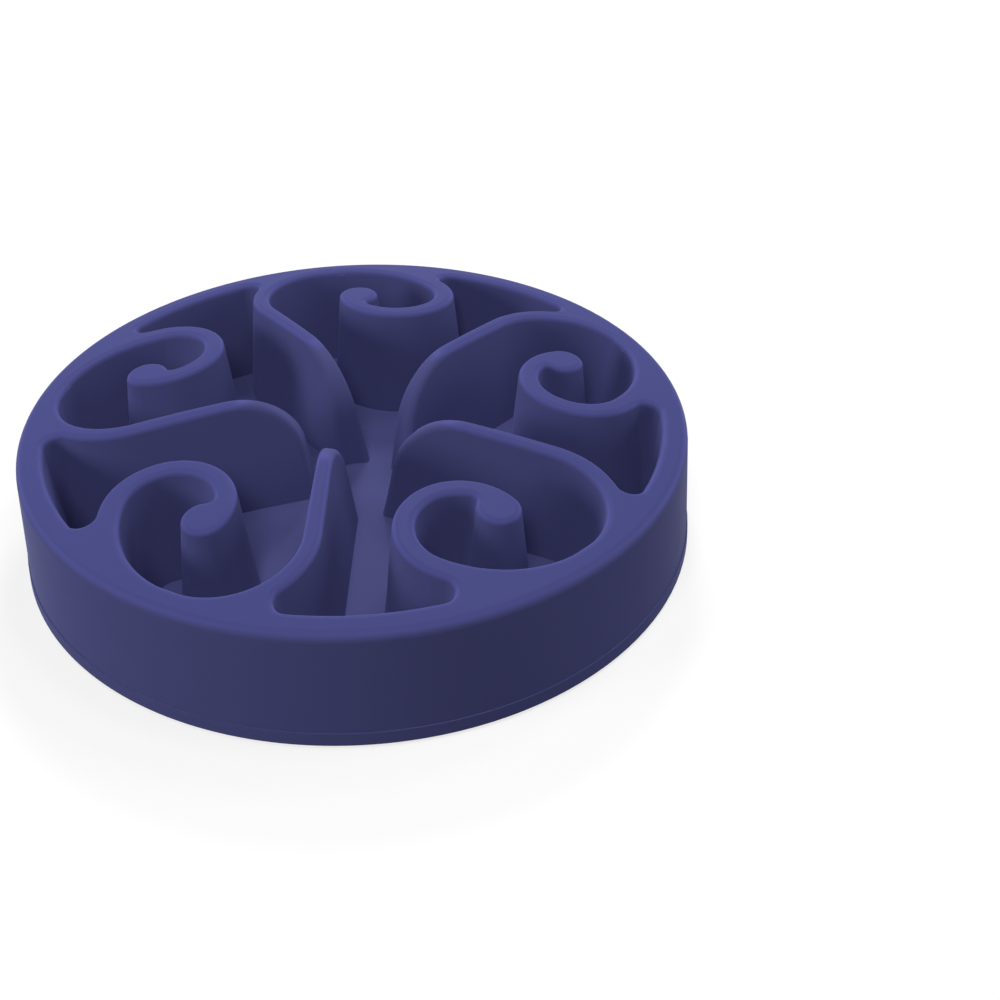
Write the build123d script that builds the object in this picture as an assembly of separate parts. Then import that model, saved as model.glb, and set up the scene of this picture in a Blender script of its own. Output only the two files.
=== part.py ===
from build123d import *
import os
from math import asin, cos, degrees, radians, sin, tan

# Slow feeder bowl: a moulded shell with five scroll ridges, a base cover snapped in
# from below and five rubber pads. Millimetres, +Z up, origin on the table under the axis.

# Outside form
BASE_RADIUS = 140.2
BASE_LIFT = 1.0
WALL_DRAFT = 3.4
CROWN_HEIGHT = 64.7
CROWN_RADIUS = 685.0
RIM_ROUND = 4.2

# Bowl floor, gently domed like the crests
FLOOR_RADIUS = 1075.0
FLOOR_THICKNESS = 2.8
FLOOR_GAP = 0.2

# Scroll ridges: the inner edge is a straight and three tangent arcs, taken CREST_DROP below the crown
CELLS = 5
CREST_DROP = 5.7
RIDGE_DRAFT = 5.8
RIM_LAND = 9.25
LOOP_AZIMUTH = 97.35
LOOP_BITE = 6.76
LOOP_RADIUS = 30.2
LOOP_END = 5.35
SWIRL = 10.3
BACK_RADIUS = 46.6
BACK_SWEEP = 75.5
CURL_RADIUS = 17.8
CURL_SWEEP = 205.1
STRAIGHT_WIDTH = 6.6
CURL_WIDTH = 8.2
TIP_RADIUS = 8.4
CREST_ROUND = 2.6
CORNER_FOOT_ROUND = 0.3
CURL_CORNER = 3.0

# Inner ends of the straights, around the open middle
NOSE_FOOT_RADIUS = 19.5
NOSE_DRAFT = 7.0
NOSE_ROUND = 28.0

# Hollow underside
WALL = 2.4
CREST_WALL = 4.0

# Base cover: plate, outer band below the shell, lip with snap bead inside the shell
BAND_HEIGHT = 6.0
BAND_STEP = 0.4
PLATE = 2.4
LIP_RISE = 6.0
LIP_WALL = 2.4
LIP_CLEARANCE = 0.15
BEAD_RADIUS = 0.8
BEAD_SET = 0.4
BEAD_ABOVE_BAND = 3.5
BEAD_CLEARANCE = 0.1
EDGE_ROUND = 0.8

# Rubber pads in the recesses of the cover
PAD_INSET = 28.2
PAD_RADIUS = 10.0
PAD_CLEARANCE = 0.15
PAD_DEPTH = 1.2
PAD_ROUND = 0.4

SECTOR = 360.0 / CELLS
SECTOR_START = LOOP_AZIMUTH - SECTOR / 2
TOP = CROWN_HEIGHT + 2 * WALL
CREST_REF = CROWN_HEIGHT - CREST_DROP
BAND_TOP = BASE_LIFT + BAND_HEIGHT
PLATE_TOP = BASE_LIFT + PLATE
BEAD_HEIGHT = BAND_TOP + BEAD_ABOVE_BAND
PAD_CIRCLE = BASE_RADIUS - PAD_INSET
RIDGE_SLOPE = tan(radians(RIDGE_DRAFT))
WALL_SLOPE = tan(radians(WALL_DRAFT))


def drop(radius, dome_radius):
    """Fall of a spherical dome at a radius from its axis."""
    return dome_radius - (dome_radius**2 - radius**2) ** 0.5


def wall_radius(z):
    """Radius of the drafted outside wall at a height."""
    return BASE_RADIUS - (z - BASE_LIFT) * WALL_SLOPE


RIM_INNER_RADIUS = wall_radius(CREST_REF) - RIM_LAND
FLOOR_HEIGHT = PLATE_TOP + FLOOR_GAP + FLOOR_THICKNESS + drop(RIM_INNER_RADIUS, FLOOR_RADIUS)
LOOP_PLACE = RIM_INNER_RADIUS + LOOP_BITE - LOOP_RADIUS - STRAIGHT_WIDTH
SCROLL_HEADING = LOOP_AZIMUTH + degrees(asin((LOOP_RADIUS + SWIRL) / LOOP_PLACE))
LOOP_SWEEP = SCROLL_HEADING + 90 - LOOP_AZIMUTH - LOOP_END
CORNER_ROUND = CORNER_FOOT_ROUND + (CREST_REF - BASE_LIFT) * RIDGE_SLOPE


def pocket_radius(z):
    """Radius of the drafted pocket side of the rim at a height."""
    return RIM_INNER_RADIUS - (CREST_REF - z) * RIDGE_SLOPE


def radial_plane(azimuth):
    """Upright plane through the axis: local x outward, local y up."""
    outward = direction(azimuth)
    return Plane((0, 0, 0), x_dir=outward, z_dir=outward.cross(Vector(0, 0, 1)))


def ball(top, radius):
    """Sphere with its highest point at a height and its poles to the sides."""
    return Pos(0, 0, top - radius) * Rot(0, 90, 0) * Sphere(radius)


def spread(z, inset):
    """How far the drafted ridge sides stand out of their plan at a height."""
    return (CREST_REF - z) * RIDGE_SLOPE - inset


def wedge(plane, far, low, top, inset):
    """Drafted ridge section from the inner edge to its width far, between two heights."""
    foot = spread(low, inset)
    head = spread(top, inset)
    outline = Polyline((-foot, low), (far + foot, low), (far + head, top), (-head, top), close=True)
    return plane * make_face(outline)


def direction(azimuth):
    """Level unit vector at an azimuth."""
    return Vector(cos(radians(azimuth)), sin(radians(azimuth)), 0)


def scroll(low, top, inset):
    """Pieces of one scroll ridge: straight, loop, back of the loop, curl and round tip."""
    heading = SCROLL_HEADING
    turns = (
        (LOOP_RADIUS, LOOP_SWEEP, STRAIGHT_WIDTH),
        (BACK_RADIUS, BACK_SWEEP, CURL_WIDTH),
        (CURL_RADIUS, CURL_SWEEP, CURL_WIDTH),
    )
    side = direction(heading + 90)
    point = direction(LOOP_AZIMUTH) * LOOP_PLACE + side * LOOP_RADIUS
    plane = Plane(point, x_dir=side, z_dir=side.cross(Vector(0, 0, 1)))
    length = point.dot(direction(heading))
    pieces = [extrude(wedge(plane, STRAIGHT_WIDTH, low, top, inset), -length)]
    for radius, sweep, width in turns:
        centre = point - side * radius
        section = wedge(plane, width, low, top, inset)
        pieces.append(revolve(section, Axis(centre, (0, 0, -1)), sweep))
        heading -= sweep
        side = direction(heading + 90)
        point = centre + side * radius
        plane = Plane(point, x_dir=side, z_dir=side.cross(Vector(0, 0, 1)))
    centre = point + side * (CURL_WIDTH - TIP_RADIUS)
    foot = TIP_RADIUS + spread(low, inset)
    head = TIP_RADIUS + spread(top, inset)
    half = make_face(Polyline((0, low), (foot, low), (head, top), (0, top), close=True))
    upright = Plane(centre, x_dir=side, z_dir=plane.z_dir)
    pieces.append(revolve(upright * half, Axis(centre, (0, 0, -1)), 360))
    return pieces


def meeting(centre, reach, round_radius, turn):
    """Centre of a round that touches the rim inside and a ridge arc outside; radius 0: the crease."""
    far = RIM_INNER_RADIUS - round_radius
    along = (centre.length**2 + far**2 - (reach + round_radius) ** 2) / (2 * centre.length)
    across = (far**2 - along**2) ** 0.5
    ahead = centre.normalized()
    return ahead * along + ahead.rotate(Axis.Z, turn) * across


def pocket_corner(centre, reach, turn):
    """Filler with a tapered round in the pocket corner between the rim and a ridge arc."""
    pivot = meeting(centre, reach, CORNER_ROUND, turn)
    crease = meeting(centre, reach, 0, turn)
    deep = CORNER_ROUND + WALL
    corners = (
        pivot,
        pivot + pivot.normalized() * deep,
        crease + (crease - pivot).normalized() * WALL,
        pivot + (centre - pivot).normalized() * deep,
    )
    height = TOP - BASE_LIFT
    footing = Pos(0, 0, BASE_LIFT) * make_face(Polyline(*corners, close=True))
    head = CORNER_ROUND - spread(TOP, 0)
    taper = Cone(CORNER_FOOT_ROUND, head, height)
    return extrude(footing, height, dir=(0, 0, 1)) - Pos(pivot.X, pivot.Y, BASE_LIFT + height / 2) * taper


def pocket_corners():
    """Both pocket corners of one scroll: at the loop and at its back."""
    loop_centre = direction(LOOP_AZIMUTH) * LOOP_PLACE
    back_centre = loop_centre + direction(LOOP_AZIMUTH + LOOP_END) * (LOOP_RADIUS - BACK_RADIUS)
    return [
        pocket_corner(loop_centre, LOOP_RADIUS + STRAIGHT_WIDTH, 90),
        pocket_corner(back_centre, BACK_RADIUS + CURL_WIDTH, -90),
    ]


def rim_sector(low, top, inset):
    """One cell's share of the rim, still wider than the outside wall."""
    outline = Polyline(
        (pocket_radius(low) + inset, low),
        (BASE_RADIUS + WALL, low),
        (BASE_RADIUS + WALL, top),
        (pocket_radius(top) + inset, top),
        close=True,
    )
    return revolve(radial_plane(SECTOR_START) * make_face(outline), Axis.Z, SECTOR)


def envelope(low, inset, sink):
    """Body under the domed crests: outside wall, dome, rounded inner end of the straights."""
    lean = tan(radians(NOSE_DRAFT))
    crown = CROWN_HEIGHT - sink
    dome_radius = CROWN_RADIUS - sink
    foot = NOSE_FOOT_RADIUS + inset
    start = foot - (FLOOR_HEIGHT - low) * lean
    peak = foot + (TOP - FLOOR_HEIGHT) * lean
    sides = Polyline(
        (start, low),
        (wall_radius(low) - inset, low),
        (wall_radius(TOP) - inset, TOP),
        (peak, TOP),
        close=True,
    )
    profile = make_face(sides) & Pos(0, crown - dome_radius) * Circle(dome_radius)
    corner = profile.vertices().sort_by_distance((peak, crown, 0))[0]
    profile = fillet(corner, NOSE_ROUND - inset)
    return revolve(radial_plane(SECTOR_START - SECTOR / 2) * profile, Axis.Z, 2 * SECTOR)


def cell(low, inset, sink, corners):
    """One fifth of the raised form: rim share with its scroll, under the dome."""
    top = TOP - 2 * sink
    raised = rim_sector(low, top, inset).fuse(*scroll(low, top, inset), *corners)
    return raised & envelope(low, inset, sink)


def is_sharp(part, edge):
    """Whether the two faces at an edge meet nearer to a right angle than to a smooth join."""
    faces = [f for f in part.faces() if any(edge.is_same(e) for e in f.edges())]
    if len(faces) != 2:
        return False
    middle = edge @ 0.5
    return faces[0].normal_at(middle).get_angle(faces[1].normal_at(middle)) > 90 / 2


def axis_distance(shape):
    """Distance of an edge's or face's middle from the bowl's axis."""
    middle = shape.position_at(0.5) if isinstance(shape, Edge) else shape.center()
    return Vector(middle.X, middle.Y, 0).length


def round_cell(part):
    """Round the corner beside the curl's tip, then all crests and noses, then the outer rim."""
    part = fillet(part.edges().filter_by(GeomType.ELLIPSE), CURL_CORNER)
    skin = part.faces().filter_by(GeomType.SPHERE)
    rounds = part.faces().filter_by(GeomType.TORUS)
    skin += [f for f in rounds if axis_distance(f) < RIM_INNER_RADIUS / 2]
    skin += part.faces().sort_by(axis_distance)[0:1]
    crests = []
    for face in skin:
        for edge in face.edges():
            inside = axis_distance(edge) < RIM_INNER_RADIUS and (edge @ 0.5).Z > BAND_TOP
            if inside and is_sharp(part, edge):
                crests.append(edge)
    part = fillet(crests, CREST_ROUND)
    arcs = part.edges().filter_by(GeomType.CIRCLE)
    rim = max(arcs, key=lambda e: axis_distance(e) + (e @ 0.5).Z)
    return fillet(rim, RIM_ROUND)


def repeated(piece):
    """The piece once per cell around the axis, joined."""
    copies = [Rot(0, 0, SECTOR * k) * piece for k in range(CELLS)]
    return copies[0].fuse(*copies[1:])


def ring_of(points):
    """Body of revolution from an outline in radius and height."""
    return revolve(radial_plane(SECTOR_START) * make_face(Polyline(*points, close=True)), Axis.Z, 360)


def lip_radius(z):
    """Outside of the cover's lip, clear of the shell's inner wall."""
    return wall_radius(z) - WALL - LIP_CLEARANCE


def make_shell():
    """Bowl moulding, hollow from below, with a snap groove inside its lower edge."""
    shell = repeated(round_cell(cell(BASE_LIFT, 0, 0, pocket_corners())))
    floor_edge = pocket_radius(FLOOR_HEIGHT - drop(RIM_INNER_RADIUS, FLOOR_RADIUS)) + WALL / 2
    slab = Pos(0, 0, FLOOR_HEIGHT / 2) * Cylinder(floor_edge, FLOOR_HEIGHT)
    shell = shell.fuse(slab & ball(FLOOR_HEIGHT, FLOOR_RADIUS))
    under = Pos(0, 0, FLOOR_HEIGHT / 2) * Cylinder(floor_edge + WALL, FLOOR_HEIGHT)
    under = under & ball(FLOOR_HEIGHT - FLOOR_THICKNESS, FLOOR_RADIUS - FLOOR_THICKNESS)
    shell = shell - repeated(cell(0, WALL, CREST_WALL, []))
    shell = shell - under
    inner = pocket_radius(0) + 2 * WALL
    outer = BASE_RADIUS + WALL
    skirt = ring_of(((inner, 0), (outer, 0), (outer, BAND_TOP), (inner, BAND_TOP)))
    groove = Torus(wall_radius(BEAD_HEIGHT) - WALL - BEAD_SET, BEAD_RADIUS + BEAD_CLEARANCE)
    return shell - skirt - Pos(0, 0, BEAD_HEIGHT) * groove


def pad_places():
    """Centres of the pads, one under each scroll."""
    return [Rot(0, 0, SECTOR * k) * Pos(0, PAD_CIRCLE, 0) for k in range(CELLS)]


def make_cover():
    """Base cover: plate with an outer band under the shell and a lip with a snap bead."""
    lip_top = BAND_TOP + LIP_RISE
    cover = ring_of(
        (
            (0, BASE_LIFT),
            (wall_radius(BASE_LIFT) + BAND_STEP, BASE_LIFT),
            (wall_radius(BAND_TOP) + BAND_STEP, BAND_TOP),
            (lip_radius(BAND_TOP), BAND_TOP),
            (lip_radius(lip_top), lip_top),
            (lip_radius(lip_top) - LIP_WALL, lip_top),
            (lip_radius(PLATE_TOP) - LIP_WALL, PLATE_TOP),
            (0, PLATE_TOP),
        )
    )
    foot_edge = cover.edges().filter_by(GeomType.CIRCLE).sort_by(Axis.Z)[0:1]
    cover = fillet(foot_edge, EDGE_ROUND)
    bead = Torus(wall_radius(BEAD_HEIGHT) - WALL - BEAD_SET, BEAD_RADIUS)
    cover = cover.fuse(Pos(0, 0, BEAD_HEIGHT) * bead)
    for place in pad_places():
        recess = Pos(0, 0, BASE_LIFT + PAD_DEPTH / 2) * Cylinder(PAD_RADIUS + PAD_CLEARANCE, PAD_DEPTH)
        cover = cover - place * recess
    return cover


def make_pad():
    """Rubber pad from the table to the ceiling of its recess, rounded below."""
    height = BASE_LIFT + PAD_DEPTH
    pad = Pos(0, 0, height / 2) * Cylinder(PAD_RADIUS, height)
    return fillet(pad.edges().filter_by(GeomType.CIRCLE).sort_by(Axis.Z)[0:1], PAD_ROUND)


os.makedirs("parts", exist_ok=True)
shell = make_shell()
cover = make_cover()
pad = make_pad()
pieces = {"bowl_shell": shell, "base_cover": cover}
for number, place in enumerate(pad_places(), start=1):
    pieces[f"rubber_pad_{number}"] = place * pad
for name, piece in pieces.items():
    export_step(piece, f"parts/{name}.step")
    print(name, round(piece.volume), len(piece.solids()), len(piece.faces()), piece.is_valid)
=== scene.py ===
"""Slow feeder bowl, dressed for a studio picture.

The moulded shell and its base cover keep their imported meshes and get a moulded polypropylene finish.
The rubber pads under the base are turned surfaces with grip rings. Metres, +Z up, origin on the table
under the axis of the bowl.
"""
import logging
import math
from dataclasses import dataclass, field
from enum import Enum
from typing import Any

import bpy
import numpy as np
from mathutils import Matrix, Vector


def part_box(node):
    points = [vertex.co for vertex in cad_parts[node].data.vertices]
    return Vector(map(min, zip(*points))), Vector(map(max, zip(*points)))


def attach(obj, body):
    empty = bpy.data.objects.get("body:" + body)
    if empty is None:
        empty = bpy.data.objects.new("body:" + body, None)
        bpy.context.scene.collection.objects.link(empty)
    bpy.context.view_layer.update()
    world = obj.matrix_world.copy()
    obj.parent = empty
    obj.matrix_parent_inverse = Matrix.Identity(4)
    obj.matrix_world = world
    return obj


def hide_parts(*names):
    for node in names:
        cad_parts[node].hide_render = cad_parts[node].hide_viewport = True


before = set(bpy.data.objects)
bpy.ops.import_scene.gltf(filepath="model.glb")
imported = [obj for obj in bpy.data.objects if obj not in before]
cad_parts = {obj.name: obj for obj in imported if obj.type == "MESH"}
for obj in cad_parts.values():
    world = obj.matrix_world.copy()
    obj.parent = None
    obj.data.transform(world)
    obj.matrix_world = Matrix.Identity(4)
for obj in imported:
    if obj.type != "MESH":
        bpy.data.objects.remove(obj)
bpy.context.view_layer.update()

LOG = logging.getLogger("slow_feeder_bowl")
MM = 0.001
BODY = "root"
# Sockets of the Mix node in its colour form
MIX_FACTOR, MIX_START, MIX_END, MIX_RESULT = 0, 6, 7, 2
# The sRGB curve: a straight line below the knee, an offset power above it
SRGB_KNEE, SRGB_SLOPE, SRGB_OFFSET, SRGB_POWER = 0.04045, 12.92, 0.055, 2.4
SRGB_FULL = 255


class Moulding(Enum):
    """Packed mouldings that keep their own mesh."""

    SHELL = "bowl_shell"
    COVER = "base_cover"


def linear(hex_colour: str) -> tuple[float, float, float, float]:
    """Turn an sRGB hex colour into linear RGBA.

    Args:
        hex_colour: colour such as "#5557A0".

    Returns:
        Linear red, green and blue, with an alpha of 1.
    """
    srgb = np.array(list(bytes.fromhex(hex_colour.lstrip("#")))) / SRGB_FULL
    power = ((srgb + SRGB_OFFSET) / (1 + SRGB_OFFSET)) ** SRGB_POWER
    rgb = np.where(srgb <= SRGB_KNEE, srgb / SRGB_SLOPE, power)
    return (*rgb.tolist(), 1.0)


def add_node(
    tree: bpy.types.NodeTree, kind: str, inputs: dict[str | int, Any] | None = None, **options: Any,
) -> bpy.types.bpy_prop_collection:
    """Add one node with its settings and links.

    Args:
        tree: node tree that gets the node.
        kind: Blender's name for the type of node.
        inputs: input socket, by name or number, to its fixed value or to the output that feeds it.
        options: properties of the node itself.

    Returns:
        Output sockets of the new node.
    """
    node = tree.nodes.new(kind)
    for name, value in options.items():
        setattr(node, name, value)
    for socket, value in (inputs or {}).items():
        if isinstance(value, bpy.types.NodeSocket):
            tree.links.new(value, node.inputs[socket])
        else:
            node.inputs[socket].default_value = value
    return node.outputs


def new_material(name: str) -> tuple[bpy.types.Material, bpy.types.NodeTree]:
    """Make an empty node material.

    Args:
        name: name of the material.

    Returns:
        The material and its node tree, with no nodes in it.
    """
    material = bpy.data.materials.new(name)
    material.use_nodes = True
    material.node_tree.nodes.clear()
    return material, material.node_tree


def mesh_object(name: str, points: np.ndarray, faces: list[list[int]]) -> bpy.types.Object:
    """Put points and faces into a smooth mesh object at the origin.

    Args:
        name: name of the object and its mesh.
        points: one row per point.
        faces: point numbers of each face.

    Returns:
        The new object.
    """
    mesh = bpy.data.meshes.new(name)
    mesh.from_pydata(points.tolist(), [], faces)
    mesh.shade_smooth()
    mesh.update()
    piece = bpy.data.objects.new(name, mesh)
    bpy.context.scene.collection.objects.link(piece)
    return piece


def seen_directly(tree: bpy.types.NodeTree) -> bpy.types.NodeSocket:
    """Mask that is 1 where the camera, a reflection or a transparent piece sees the background.

    Args:
        tree: node tree of the floor or the world.

    Returns:
        Output socket of the mask.
    """
    path = add_node(tree, "ShaderNodeLightPath")
    seen = path["Is Camera Ray"]
    for ray in ("Is Glossy Ray", "Is Transmission Ray"):
        seen = add_node(tree, "ShaderNodeMath", {0: seen, 1: path[ray]}, operation="MAXIMUM")["Value"]
    return seen


@dataclass(frozen=True)
class Mottle:
    """An uneven pattern of a real size, the same in all directions.

    Attributes:
        width: width of its largest patches.
        layers: number of finer layers in it.
        harshness: strength of each layer against the one before.
    """

    width: float
    layers: float = 3.0
    harshness: float = 0.5

    def settings(self, place: bpy.types.NodeSocket) -> dict[str, Any]:
        """Give the settings of a noise texture that draws the pattern.

        Args:
            place: Object coordinates.

        Returns:
            Input socket to its value or link.
        """
        return {"Vector": place, "Scale": 1 / self.width, "Detail": self.layers, "Roughness": self.harshness}


@dataclass(frozen=True)
class MouldedPolypropylene:
    """Polypropylene, injection moulded in a finely spark-eroded tool.

    The eroded tool leaves an even matte grain with a soft sheen. The flow of the melt leaves faint
    clouds in colour and gloss. Handling polishes the domed crests, which are painted a little deeper as
    painted shade; their rounded edges are painted lighter as a painted highlight. The outside gets fine
    scuffs near the foot.

    Attributes:
        name: name of the material.
        body: colour of the plastic.
        clouded: colour in the flow clouds.
        shaded_crest: colour of the crests, darker as painted shade.
        edge_highlight: colour of their rounded edges, lighter as a painted highlight.
        scuffed: colour of the scuffs.
        ior: index of refraction.
        specular_level: strength of the sheen, where 0.5 is a bare surface of this index.
        matte_spread: roughness of the matte part, as an eroded grain gives it.
        roughness: roughness of the sheen.
        gloss_swing: how far the flow changes that roughness, up and down.
        polish: how far the polish lowers it.
        crown_height: height of the dome over the crests at the axis.
        crown_radius: radius of that dome.
        shade_and_polish_depth: depth below the dome at which the crests' painted shade and their polish end.
        highlight_start: depths at which the painted highlight on the edges begins and is full.
        highlight_end: depths at which it fades and is gone.
        highlight_patches: share of the painted highlight in its weakest and strongest patches.
        scuff_height: height above the table at which the scuffs end.
        scuff_share: share of the scuffs' colour at the foot.
        scuff_streaks: range of the scuff pattern that shows.
        grain: pattern of the eroded grain.
        grain_depth: depth of the grain.
        grain_strength: strength of the grain.
        clouds: pattern of the flow clouds.
        gloss: pattern of the changes in gloss.
        patches: pattern of the patches of the painted highlight.
        scuffs: pattern of the scuffs.
    """

    # To the eye: matte and even with a soft sheen, with painted shade on the crests and a painted highlight
    # on their rounded edges
    name: str = "polypropylene_moulded_purple"
    body: str = "#53558A"
    clouded: str = "#4F5184"
    shaded_crest: str = "#4C4E88"
    edge_highlight: str = "#57599B"
    scuffed: str = "#56588C"
    ior: float = 1.49
    specular_level: float = 0.012
    matte_spread: float = 0.6
    roughness: float = 0.5
    gloss_swing: float = 0.06
    polish: float = 0.07
    crown_height: float = 64.7 * MM
    crown_radius: float = 685 * MM
    shade_and_polish_depth: float = 2.2 * MM
    highlight_start: tuple[float, float] = (0.0, 0.7 * MM)
    highlight_end: tuple[float, float] = (0.8 * MM, 2.6 * MM)
    highlight_patches: tuple[float, float] = (0.5, 1.0)
    scuff_height: float = 16 * MM
    scuff_share: float = 0.5
    scuff_streaks: tuple[float, float] = (0.5, 0.75)
    # The eroded grain is about 0.1 mm wide; it is drawn at 0.9 mm so that it shows at all.
    grain: Mottle = Mottle(0.9 * MM, 2.0, 0.6)
    grain_depth: float = 0.02 * MM
    grain_strength: float = 0.5
    clouds: Mottle = Mottle(48 * MM, 3.0, 0.55)
    gloss: Mottle = Mottle(9 * MM, 4.0)
    patches: Mottle = Mottle(14 * MM)
    scuffs: Mottle = Mottle(1.6 * MM, 3.0, 0.7)

    def build(self) -> bpy.types.Material:
        """Make the node material on Object coordinates.

        Returns:
            The material.
        """
        material, tree = new_material(self.name)
        place = add_node(tree, "ShaderNodeTexCoord")["Object"]
        depth = self._crest_depth(tree, place)
        # Mask of the crests: it darkens their colour as painted shade and lowers their roughness as polish
        crest = add_node(
            tree, "ShaderNodeMapRange",
            {"Value": depth, "From Min": 0.0, "From Max": self.shade_and_polish_depth, "To Min": 1.0, "To Max": 0.0},
            interpolation_type="SMOOTHSTEP",
        )["Result"]
        clouds = add_node(tree, "ShaderNodeTexNoise", self.clouds.settings(place))["Fac"]
        scuffs = self._scuff_mask(tree, place)
        # Painted highlight along the crests' rounded edges
        painted_highlight = self._edge_highlight_mask(tree, place, depth)
        colour = linear(self.body)
        # The crest tint is painted shade and the edge tint a painted highlight; the clouds and scuffs are the
        # plastic's own
        tints = ((clouds, self.clouded), (scuffs, self.scuffed), (crest, self.shaded_crest), (painted_highlight, self.edge_highlight))
        for mask, tint in tints:
            layers = {MIX_FACTOR: mask, MIX_START: colour, MIX_END: linear(tint)}
            colour = add_node(tree, "ShaderNodeMix", layers, data_type="RGBA")[MIX_RESULT]
        grain = add_node(tree, "ShaderNodeTexNoise", self.grain.settings(place))["Fac"]
        bump = add_node(
            tree, "ShaderNodeBump",
            {"Height": grain, "Strength": self.grain_strength, "Distance": self.grain_depth},
        )["Normal"]
        shader = add_node(
            tree, "ShaderNodeBsdfPrincipled",
            {
                "Base Color": colour,
                "Roughness": self._gloss(tree, place, crest),
                "IOR": self.ior,
                "Specular IOR Level": self.specular_level,
                "Diffuse Roughness": self.matte_spread,
                "Normal": bump,
            },
        )["BSDF"]
        add_node(tree, "ShaderNodeOutputMaterial", {"Surface": shader})
        return material

    def _crest_depth(self, tree: bpy.types.NodeTree, place: bpy.types.NodeSocket) -> bpy.types.NodeSocket:
        """Depth below the dome of the crests.

        The dome is a sphere of the crown radius R whose top is at the crown height, so a point lies
        R - |point - centre of the sphere| below it.

        Args:
            tree: node tree of the material.
            place: Object coordinates.

        Returns:
            Output socket of the depth.
        """
        centre = (0.0, 0.0, self.crown_height - self.crown_radius)
        reach = add_node(tree, "ShaderNodeVectorMath", {0: place, 1: centre}, operation="DISTANCE")["Value"]
        ends = {0: self.crown_radius, 1: reach}
        return add_node(tree, "ShaderNodeMath", ends, operation="SUBTRACT")["Value"]

    def _gloss(
        self, tree: bpy.types.NodeTree, place: bpy.types.NodeSocket, crest: bpy.types.NodeSocket,
    ) -> bpy.types.NodeSocket:
        """Roughness of the sheen: it swings with the flow of the melt and falls on the polished crests.

        Args:
            tree: node tree of the material.
            place: Object coordinates.
            crest: mask of the polished crests.

        Returns:
            Output socket of the roughness.
        """
        flow = add_node(tree, "ShaderNodeTexNoise", self.gloss.settings(place))["Fac"]
        low, high = self.roughness - self.gloss_swing, self.roughness + self.gloss_swing
        swing = add_node(tree, "ShaderNodeMapRange", {"Value": flow, "To Min": low, "To Max": high})["Result"]
        polish = add_node(tree, "ShaderNodeMath", {0: crest, 1: self.polish}, operation="MULTIPLY")["Value"]
        return add_node(tree, "ShaderNodeMath", {0: swing, 1: polish}, operation="SUBTRACT")["Value"]

    def _edge_highlight_mask(
        self, tree: bpy.types.NodeTree, place: bpy.types.NodeSocket, depth: bpy.types.NodeSocket,
    ) -> bpy.types.NodeSocket:
        """Mask of the painted highlight on the edges: the rounds just below the dome, in patches.

        Args:
            tree: node tree of the material.
            place: Object coordinates.
            depth: depth below the dome.

        Returns:
            Output socket of the mask.
        """
        begun = add_node(
            tree, "ShaderNodeMapRange",
            {"Value": depth, "From Min": self.highlight_start[0], "From Max": self.highlight_start[1]},
            interpolation_type="SMOOTHSTEP",
        )["Result"]
        left = add_node(
            tree, "ShaderNodeMapRange",
            {
                "Value": depth,
                "From Min": self.highlight_end[0],
                "From Max": self.highlight_end[1],
                "To Min": 1.0,
                "To Max": 0.0,
            },
            interpolation_type="SMOOTHSTEP",
        )["Result"]
        edge = add_node(tree, "ShaderNodeMath", {0: begun, 1: left}, operation="MULTIPLY")["Value"]
        mottle = add_node(tree, "ShaderNodeTexNoise", self.patches.settings(place))["Fac"]
        weak, strong = self.highlight_patches
        share = add_node(
            tree, "ShaderNodeMapRange", {"Value": mottle, "To Min": weak, "To Max": strong},
        )["Result"]
        return add_node(tree, "ShaderNodeMath", {0: edge, 1: share}, operation="MULTIPLY")["Value"]

    def _scuff_mask(self, tree: bpy.types.NodeTree, place: bpy.types.NodeSocket) -> bpy.types.NodeSocket:
        """Mask of the scuffs: fine streaks that fade out with the height above the table.

        Args:
            tree: node tree of the material.
            place: Object coordinates.

        Returns:
            Output socket of the mask.
        """
        height = add_node(tree, "ShaderNodeSeparateXYZ", {0: place})["Z"]
        low = add_node(
            tree, "ShaderNodeMapRange",
            {
                "Value": height,
                "From Min": 0.0,
                "From Max": self.scuff_height,
                "To Min": self.scuff_share,
                "To Max": 0.0,
            },
            interpolation_type="SMOOTHSTEP",
        )["Result"]
        streaks = add_node(tree, "ShaderNodeTexNoise", self.scuffs.settings(place))["Fac"]
        sparse = add_node(
            tree, "ShaderNodeMapRange",
            {"Value": streaks, "From Min": self.scuff_streaks[0], "From Max": self.scuff_streaks[1]},
        )["Result"]
        return add_node(tree, "ShaderNodeMath", {0: low, 1: sparse}, operation="MULTIPLY")["Value"]


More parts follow.
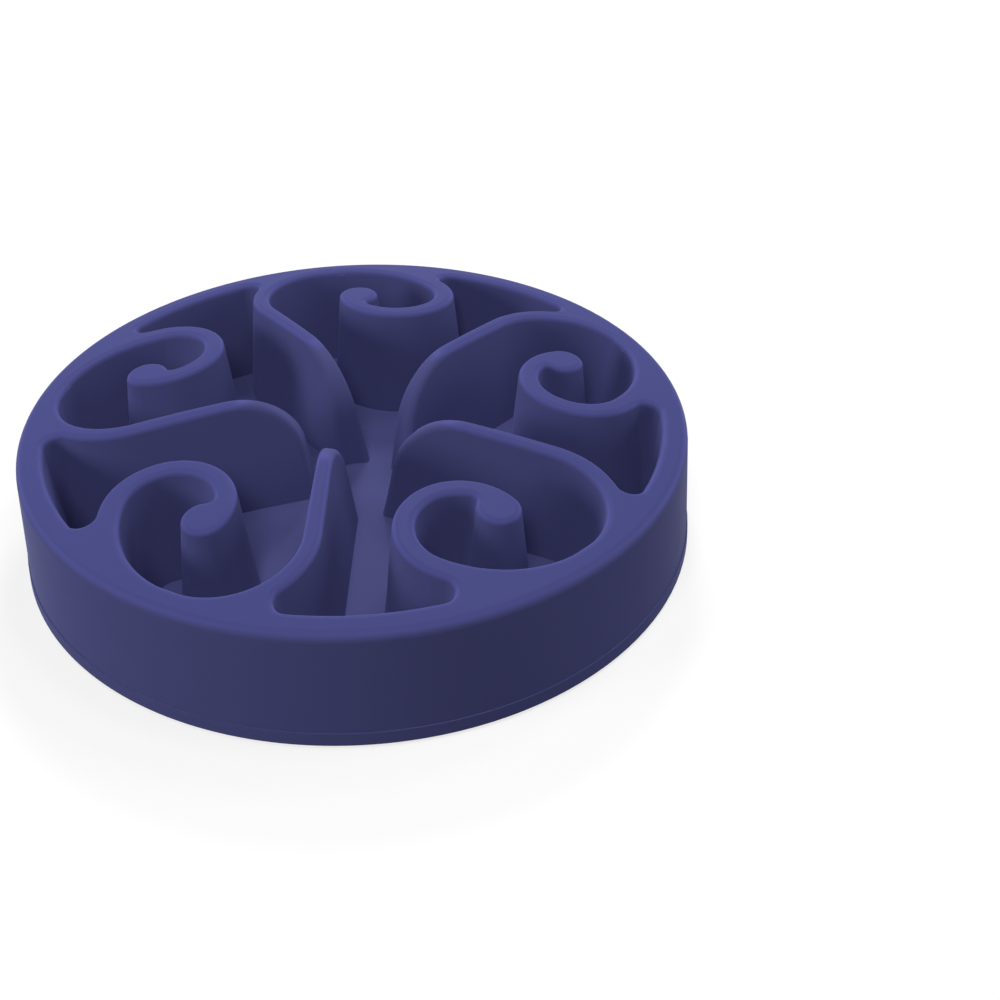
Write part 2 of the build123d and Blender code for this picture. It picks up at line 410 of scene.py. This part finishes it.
@dataclass(frozen=True)
class MouldedRubber:
    """Thermoplastic rubber, compression moulded: a dull dark grey with a fine bloom and grit.

    Attributes:
        name: name of the material.
        body: colour of the rubber.
        bloomed: colour where it has bloomed.
        ior: index of refraction.
        specular_level: strength of the sheen, where 0.5 is a bare surface of this index.
        roughness: roughness of the sheen.
        bloom: pattern of the bloom.
        grit: pattern of the grit.
        grit_depth: depth of the grit.
        grit_strength: strength of the grit.
    """

    # To the eye: dull and dark, with pale clouds and hardly any shine
    name: str = "rubber_moulded_grey"
    body: str = "#55555A"
    bloomed: str = "#66666A"
    ior: float = 1.52
    specular_level: float = 0.25
    roughness: float = 0.75
    bloom: Mottle = Mottle(4 * MM)
    # The grit is about 0.1 mm wide; it is drawn at 0.5 mm so that it shows at all.
    grit: Mottle = Mottle(0.5 * MM, 2.0)
    grit_depth: float = 0.03 * MM
    grit_strength: float = 0.6

    def build(self) -> bpy.types.Material:
        """Make the node material on Object coordinates.

        Returns:
            The material.
        """
        material, tree = new_material(self.name)
        place = add_node(tree, "ShaderNodeTexCoord")["Object"]
        bloom = add_node(tree, "ShaderNodeTexNoise", self.bloom.settings(place))["Fac"]
        layers = {MIX_FACTOR: bloom, MIX_START: linear(self.body), MIX_END: linear(self.bloomed)}
        colour = add_node(tree, "ShaderNodeMix", layers, data_type="RGBA")[MIX_RESULT]
        grit = add_node(tree, "ShaderNodeTexNoise", self.grit.settings(place))["Fac"]
        bump = add_node(
            tree, "ShaderNodeBump",
            {"Height": grit, "Strength": self.grit_strength, "Distance": self.grit_depth},
        )["Normal"]
        shader = add_node(
            tree, "ShaderNodeBsdfPrincipled",
            {
                "Base Color": colour,
                "Roughness": self.roughness,
                "IOR": self.ior,
                "Specular IOR Level": self.specular_level,
                "Normal": bump,
            },
        )["BSDF"]
        add_node(tree, "ShaderNodeOutputMaterial", {"Surface": shader})
        return material


@dataclass
class MouldedPiece:
    """A packed moulding that keeps its mesh and gets a finish.

    Attributes:
        moulding: which of the mouldings it is.
    """

    moulding: Moulding

    def build(self) -> bpy.types.Object:
        """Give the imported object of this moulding."""
        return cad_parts[self.moulding.value]

    def dress(self, material: bpy.types.Material) -> None:
        """Put a material on every face of the moulding.

        Args:
            material: finish of the moulding.
        """
        slots = self.build().data.materials
        slots.clear()
        slots.append(material)


@dataclass
class RubberPads:
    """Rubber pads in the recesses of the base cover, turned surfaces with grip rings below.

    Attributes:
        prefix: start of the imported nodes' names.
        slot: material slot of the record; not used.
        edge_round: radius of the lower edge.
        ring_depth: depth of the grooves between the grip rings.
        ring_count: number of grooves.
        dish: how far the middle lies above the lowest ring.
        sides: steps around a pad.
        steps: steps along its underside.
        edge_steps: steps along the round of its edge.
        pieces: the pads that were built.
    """

    prefix: str = "rubber_pad"
    slot: str = "grey_rubber"
    edge_round: float = 0.6 * MM
    ring_depth: float = 0.25 * MM
    ring_count: int = 4
    dish: float = 0.15 * MM
    sides: int = 96
    steps: int = 120
    edge_steps: int = 12
    pieces: list[bpy.types.Object] = field(default_factory=list)

    def build(self) -> list[bpy.types.Object]:
        """Make one pad in place of each packed pad.

        Returns:
            The new pads.
        """
        for node in sorted(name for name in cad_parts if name.startswith(self.prefix)):
            low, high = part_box(node)
            pad = mesh_object(f"{node}_grip", *self._surface(low, high))
            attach(pad, BODY)
            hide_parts(node)
            self.pieces.append(pad)
        return self.pieces

    def dress(self, material: bpy.types.Material) -> None:
        """Put a material on every pad.

        Args:
            material: finish of the pads.
        """
        for piece in self.pieces:
            piece.data.materials.append(material)

    def _profile(self, radius: float, height: float) -> tuple[np.ndarray, np.ndarray]:
        """Outline of a pad from the middle of its underside to the middle of its top.

        The underside is a dish that falls as the cosine of the share of the radius, with round grooves
        as a raised cosine over the inner part. A quarter circle joins it to the upright side, and the
        top is level.

        Args:
            radius: radius of the pad.
            height: height of the pad.

        Returns:
            Radii and heights along the outline.
        """
        flat = radius - self.edge_round
        reach = np.linspace(0.0, flat, self.steps)
        share = reach / flat
        waves = (1 - np.cos(2 * math.pi * self.ring_count * share)) / 2
        fade = np.clip((1 - share) * self.ring_count, 0.0, 1.0)
        under = self.dish * np.cos(share * math.pi / 2) + self.ring_depth * waves * fade
        turn = np.linspace(0.0, math.pi / 2, self.edge_steps)[1:]
        edge_reach = flat + self.edge_round * np.sin(turn)
        edge_rise = self.edge_round * (1 - np.cos(turn))
        reaches = np.concatenate([reach, edge_reach, [radius, 0.0]])
        rises = np.concatenate([under, edge_rise, [height, height]])
        return reaches, rises

    def _surface(self, low: Vector, high: Vector) -> tuple[np.ndarray, list[list[int]]]:
        """Turn the outline around the pad's own axis.

        Point (i, j) lies at radius r_j and height z_j of the outline, at the angle i of the turn. The
        two ends of the outline lie on the axis and are one point each.

        Args:
            low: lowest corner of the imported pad.
            high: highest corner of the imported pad.

        Returns:
            Points and faces.
        """
        radius = (high[0] - low[0]) / 2
        centre = np.array([(low[0] + high[0]) / 2, (low[1] + high[1]) / 2, low[2]])
        reach, rise = self._profile(radius, high[2] - low[2])
        angle = np.linspace(0.0, 2 * math.pi, self.sides, endpoint=False)
        ring_reach, ring_rise = reach[1:-1], rise[1:-1]
        grid = np.stack(
            [
                np.outer(np.cos(angle), ring_reach),
                np.outer(np.sin(angle), ring_reach),
                np.broadcast_to(ring_rise, (self.sides, ring_rise.size)),
            ],
            axis=-1,
        )
        poles = np.array([[0.0, 0.0, rise[0]], [0.0, 0.0, rise[-1]]])
        points = np.concatenate([grid.reshape(-1, 3), poles]) + centre
        rings = ring_reach.size
        start = np.arange(self.sides) * rings
        follow = np.roll(start, -1)
        here = start[:, None] + np.arange(rings - 1)
        after = follow[:, None] + np.arange(rings - 1)
        quads = np.stack([after, after + 1, here + 1, here], axis=-1).reshape(-1, 4)
        under_pole, top_pole = self.sides * rings, self.sides * rings + 1
        under_fan = np.stack([np.full(self.sides, under_pole), follow, start], axis=-1)
        top_fan = np.stack([np.full(self.sides, top_pole), start + rings - 1, follow + rings - 1], axis=-1)
        return points, quads.tolist() + under_fan.tolist() + top_fan.tolist()


@dataclass(frozen=True)
class Softbox:
    """A square soft light that faces the bowl.

    Attributes:
        name: name of the light.
        azimuth: direction around the bowl in degrees, 0 to the right, 90 behind it.
        elevation: height above the table in degrees.
        power: power in watts.
        size: side of the light.
        distance: distance from the bowl.
    """

    name: str
    azimuth: float
    elevation: float
    power: float
    size: float = 0.25
    distance: float = 1.3

    def place(self) -> bpy.types.Object:
        """Hang the light and turn it to the bowl.

        Returns:
            The light's object.
        """
        around, above = math.radians(self.azimuth), math.radians(self.elevation)
        level = Vector((math.cos(around), math.sin(around), 0.0))
        outward = level * math.cos(above) + Vector((0.0, 0.0, math.sin(above)))
        lamp = bpy.data.lights.new(self.name, "AREA")
        lamp.shape = "SQUARE"
        lamp.size = self.size
        lamp.energy = self.power
        light = bpy.data.objects.new(self.name, lamp)
        light.location = outward * self.distance
        light.rotation_euler = (-outward).to_track_quat("-Z", "Y").to_euler()
        bpy.context.scene.collection.objects.link(light)
        return light


@dataclass(frozen=True)
class MattePaper:
    """Paper, uncoated and rolled out in one sheet.

    It looks near white to the camera, with a faint shadow of the bowl on it.

    Attributes:
        name: name of the material.
        sheet: colour of the paper to the eye.
        bounce: colour that the paper throws back on the bowl, as with dark flags around it.
        glow: white that the camera sees on the paper apart from its own shading, near and far.
        glow_reach: distances from the axis between which it rises.
        shading: share of the paper's own shading, with the bowl's shadow, that the camera sees.
    """

    # To the eye: plain white without shine, which takes a soft shadow
    name: str = "paper_matte_white"
    sheet: str = "#F7F7F7"
    bounce: str = "#585858"
    glow: tuple[float, float] = (0.72, 1.0)
    glow_reach: tuple[float, float] = (0.3, 1.2)
    shading: float = 0.3

    def build(self) -> bpy.types.Material:
        """Make the node material on Object coordinates.

        Returns:
            The material.
        """
        material, tree = new_material(self.name)
        seen = seen_directly(tree)
        dimmed = (*(self.shading * value for value in linear(self.sheet)[:3]), 1.0)
        layers = {MIX_FACTOR: seen, MIX_START: linear(self.bounce), MIX_END: dimmed}
        colour = add_node(tree, "ShaderNodeMix", layers, data_type="RGBA")[MIX_RESULT]
        paper = add_node(tree, "ShaderNodeBsdfDiffuse", {"Color": colour})["BSDF"]
        place = add_node(tree, "ShaderNodeTexCoord")["Object"]
        reach = add_node(tree, "ShaderNodeVectorMath", {0: place}, operation="LENGTH")["Value"]
        light = add_node(
            tree, "ShaderNodeMapRange",
            {
                "Value": reach,
                "From Min": self.glow_reach[0],
                "From Max": self.glow_reach[1],
                "To Min": self.glow[0],
                "To Max": self.glow[1],
            },
            interpolation_type="SMOOTHSTEP",
        )["Result"]
        strength = add_node(tree, "ShaderNodeMath", {0: seen, 1: light}, operation="MULTIPLY")["Value"]
        glow = add_node(tree, "ShaderNodeEmission", {"Strength": strength})["Emission"]
        both = add_node(tree, "ShaderNodeAddShader", {0: paper, 1: glow})["Shader"]
        add_node(tree, "ShaderNodeOutputMaterial", {"Surface": both})
        return material


@dataclass(frozen=True)
class Studio:
    """Plain pale studio: round paper floor, white surroundings and soft lights.

    Attributes:
        floor_radius: radius of the paper floor.
        floor_sides: steps around its edge.
        paper: finish of the floor.
        surroundings: colour of the surroundings.
        lights: the soft lights.
    """

    floor_radius: float = 3.0
    floor_sides: int = 128
    paper: MattePaper = MattePaper()
    surroundings: str = "#FFFFFF"
    lights: tuple[Softbox, ...] = (
        Softbox("rear_softbox", azimuth=85, elevation=48, power=6.8),
        Softbox("rear_right_softbox", azimuth=45, elevation=62, power=2.0),
        Softbox("right_high_softbox", azimuth=0, elevation=76, power=2.4),
        Softbox("front_high_softbox", azimuth=250, elevation=76, power=4.2),
        Softbox("front_softbox", azimuth=265, elevation=45, power=3.2),
        Softbox("right_softbox", azimuth=0, elevation=18, power=5.6, size=0.8),
        Softbox("left_softbox", azimuth=205, elevation=20, power=6.5, size=0.4),
    )

    def build(self) -> None:
        """Make the floor, the surroundings and the lights."""
        self._floor()
        self._surroundings()
        for light in self.lights:
            light.place()

    def _floor(self) -> None:
        """Lay the round paper floor, whose points lie on one circle at equal angles."""
        angle = np.linspace(0.0, 2 * math.pi, self.floor_sides, endpoint=False)
        rim = np.stack([np.cos(angle), np.sin(angle), np.zeros_like(angle)], axis=-1) * self.floor_radius
        floor = mesh_object("paper_floor", rim, [list(range(self.floor_sides))])
        floor.data.materials.append(self.paper.build())

    def _surroundings(self) -> None:
        """Make the world: white to the eye, with no light of its own on the bowl."""
        world = bpy.data.worlds.new("white_surroundings")
        world.use_nodes = True
        tree = world.node_tree
        tree.nodes.clear()
        settings = {"Color": linear(self.surroundings), "Strength": seen_directly(tree)}
        back = add_node(tree, "ShaderNodeBackground", settings)["Background"]
        add_node(tree, "ShaderNodeOutputWorld", {"Surface": back})
        bpy.context.scene.world = world


@dataclass(frozen=True)
class PhotoCamera:
    """Camera at the photograph's viewing angle, in the bowl's frame.

    Attributes:
        place: position of the lens.
        pitch: angle below the horizon in degrees.
        yaw: turn about the vertical in degrees.
        lens: focal length in millimetres on a 36 mm sensor.
    """

    place: tuple[float, float, float] = (0.03231, -0.52598, 0.39304)
    pitch: float = 36.34
    yaw: float = -3.0
    lens: float = 54.117

    def build(self) -> bpy.types.Object:
        """Make the camera and look through it.

        Returns:
            The camera's object.
        """
        data = bpy.data.cameras.new("photo_camera")
        data.lens = self.lens
        camera = bpy.data.objects.new("photo_camera", data)
        camera.location = self.place
        # Unturned, a camera looks straight down.
        camera.rotation_euler = (math.radians(90 - self.pitch), 0.0, math.radians(self.yaw))
        bpy.context.scene.collection.objects.link(camera)
        bpy.context.scene.camera = camera
        return camera


def main() -> None:
    """Build and dress the bowl, then the studio around it."""
    logging.basicConfig(level=logging.INFO)
    plastic = MouldedPolypropylene().build()
    rubber = MouldedRubber().build()
    for moulding in Moulding:
        MouldedPiece(moulding).dress(plastic)
        LOG.info("dressed %s", moulding.value)
    pads = RubberPads()
    for pad in pads.build():
        LOG.info("built %s", pad.name)
    pads.dress(rubber)
    Studio().build()
    PhotoCamera().build()
    bpy.context.scene.view_settings.view_transform = "Standard"


if __name__ == "__main__":
    main()
